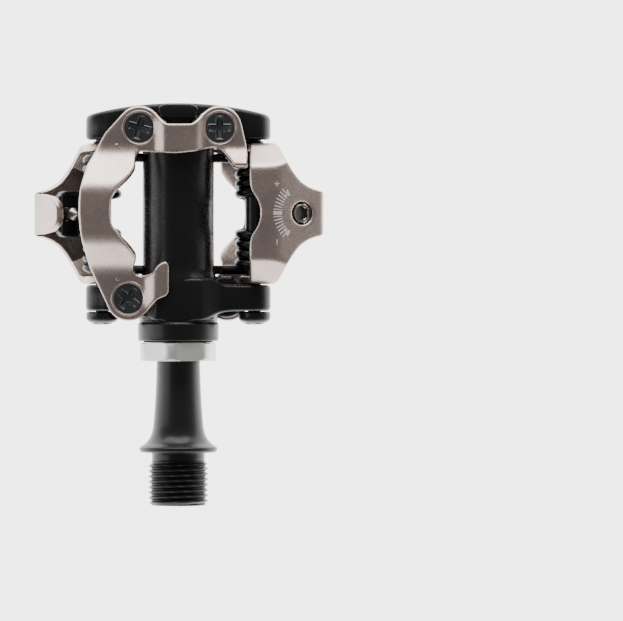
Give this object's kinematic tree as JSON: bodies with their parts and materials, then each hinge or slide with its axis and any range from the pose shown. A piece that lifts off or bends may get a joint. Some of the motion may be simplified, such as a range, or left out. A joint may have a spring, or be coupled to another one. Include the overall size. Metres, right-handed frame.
{
  "type": "bicycle pedal",
  "caption": "Two-sided clipless bicycle pedal: a black body turns on a steel spindle, with a fixed hoop and a sprung claw on each face to hold a shoe cleat.",
  "frame": {"origin": "on the spindle axis, in the plane of the flange face that seats on the crank arm", "axes": "+Y along the spindle from the crank to the outboard end, +Z out of the upper face, +X towards the upper face's sprung claw"},
  "size_m": [0.0692, 0.0956, 0.032],
  "materials": {
    "black_steel": "satin black",
    "black_paint": "gloss black paint",
    "plated_steel": "satin nickel plate with a warm tint",
    "aluminium": "satin",
    "bright_steel": "bright",
    "rubber": "matt",
    "bronze": "satin"
  },
  "bodies": {
    "spindle": {"spindle": "black_steel", "bearing_cone": "bright_steel", "keyed_washer": "bright_steel", "cone_locknut": "bright_steel"},
    "pedal_body": {"bearing_sleeve": "bright_steel", "lock_nut": "aluminium", "spindle_seal": "rubber", "collar_o_ring": "rubber", "inboard_bush": "bronze", "body_casting": "black_paint", "upper_hoop": "plated_steel", "upper_hoop_screw_1": "black_steel", "upper_hoop_screw_2": "black_steel", "upper_hoop_screw_3": "black_steel", "upper_pivot_pin": "black_steel", "upper_spring_bush": "black_steel", "upper_spring": "black_steel", "lower_hoop": "plated_steel", "lower_hoop_screw_1": "black_steel", "lower_hoop_screw_2": "black_steel", "lower_hoop_screw_3": "black_steel", "lower_pivot_pin": "black_steel", "lower_spring_bush": "black_steel", "lower_spring": "black_steel"},
    "inboard_balls": {"inboard_ball_row": "bright_steel"},
    "outboard_balls": {"outboard_ball_row": "bright_steel"},
    "upper_claw": {"upper_claw": "plated_steel"},
    "upper_tension_screw": {"upper_tension_screw": "bright_steel"},
    "upper_tension_block": {"upper_tension_block": "black_steel"},
    "lower_claw": {"lower_claw": "plated_steel"},
    "lower_tension_screw": {"lower_tension_screw": "bright_steel"},
    "lower_tension_block": {"lower_tension_block": "black_steel"}
  },
  "joints": [
    {"name": "body_spin", "type": "hinge", "parent": "spindle", "child": "pedal_body", "pos_m": [0, 0.05, 0], "axis": [0, 1, 0], "continuous": true},
    {"name": "inboard_ball_spin", "type": "hinge", "parent": "spindle", "child": "inboard_balls", "pos_m": [0, 0.0636, 0], "axis": [0, 1, 0], "continuous": true},
    {"name": "outboard_ball_spin", "type": "hinge", "parent": "spindle", "child": "outboard_balls", "pos_m": [0, 0.0698, 0], "axis": [0, 1, 0], "continuous": true},
    {"name": "upper_claw_release", "type": "hinge", "parent": "pedal_body", "child": "upper_claw", "pos_m": [0.0181, 0.057, 0], "axis": [0, 1, 0], "range_deg": [0, 16], "stiffness_Nm_per_rad": 0.03, "springref_deg": -14.32, "deforming": ["upper_spring"]},
    {"name": "upper_tension_turn", "type": "hinge", "parent": "upper_claw", "child": "upper_tension_screw", "pos_m": [0.0296, 0.0568, 0.00981], "axis": [0.503, 0, 0.8643], "range_deg": [0, 900]},
    {"name": "upper_tension_slide", "type": "slide", "parent": "upper_claw", "child": "upper_tension_block", "axis": [0.503, 0, 0.8643], "range_m": [0, 0.00125]},
    {"name": "lower_claw_release", "type": "hinge", "parent": "pedal_body", "child": "lower_claw", "pos_m": [-0.0181, 0.057, 0], "axis": [0, 1, 0], "range_deg": [0, 16], "stiffness_Nm_per_rad": 0.03, "springref_deg": -14.32, "deforming": ["lower_spring"]},
    {"name": "lower_tension_turn", "type": "hinge", "parent": "lower_claw", "child": "lower_tension_screw", "pos_m": [-0.0296, 0.0568, -0.00981], "axis": [-0.503, 0, -0.8643], "range_deg": [0, 900]},
    {"name": "lower_tension_slide", "type": "slide", "parent": "lower_claw", "child": "lower_tension_block", "axis": [-0.503, 0, -0.8643], "range_m": [0, 0.00125]}
  ],
  "couplings": [
    {"joint": "inboard_ball_spin", "follows": "body_spin", "ratio": 0.62},
    {"joint": "outboard_ball_spin", "follows": "body_spin", "ratio": 0.62},
    {"joint": "upper_tension_turn", "follows": "upper_tension_slide", "rad_per_m": 12566},
    {"joint": "lower_tension_turn", "follows": "lower_tension_slide", "rad_per_m": 12566}
  ]
}
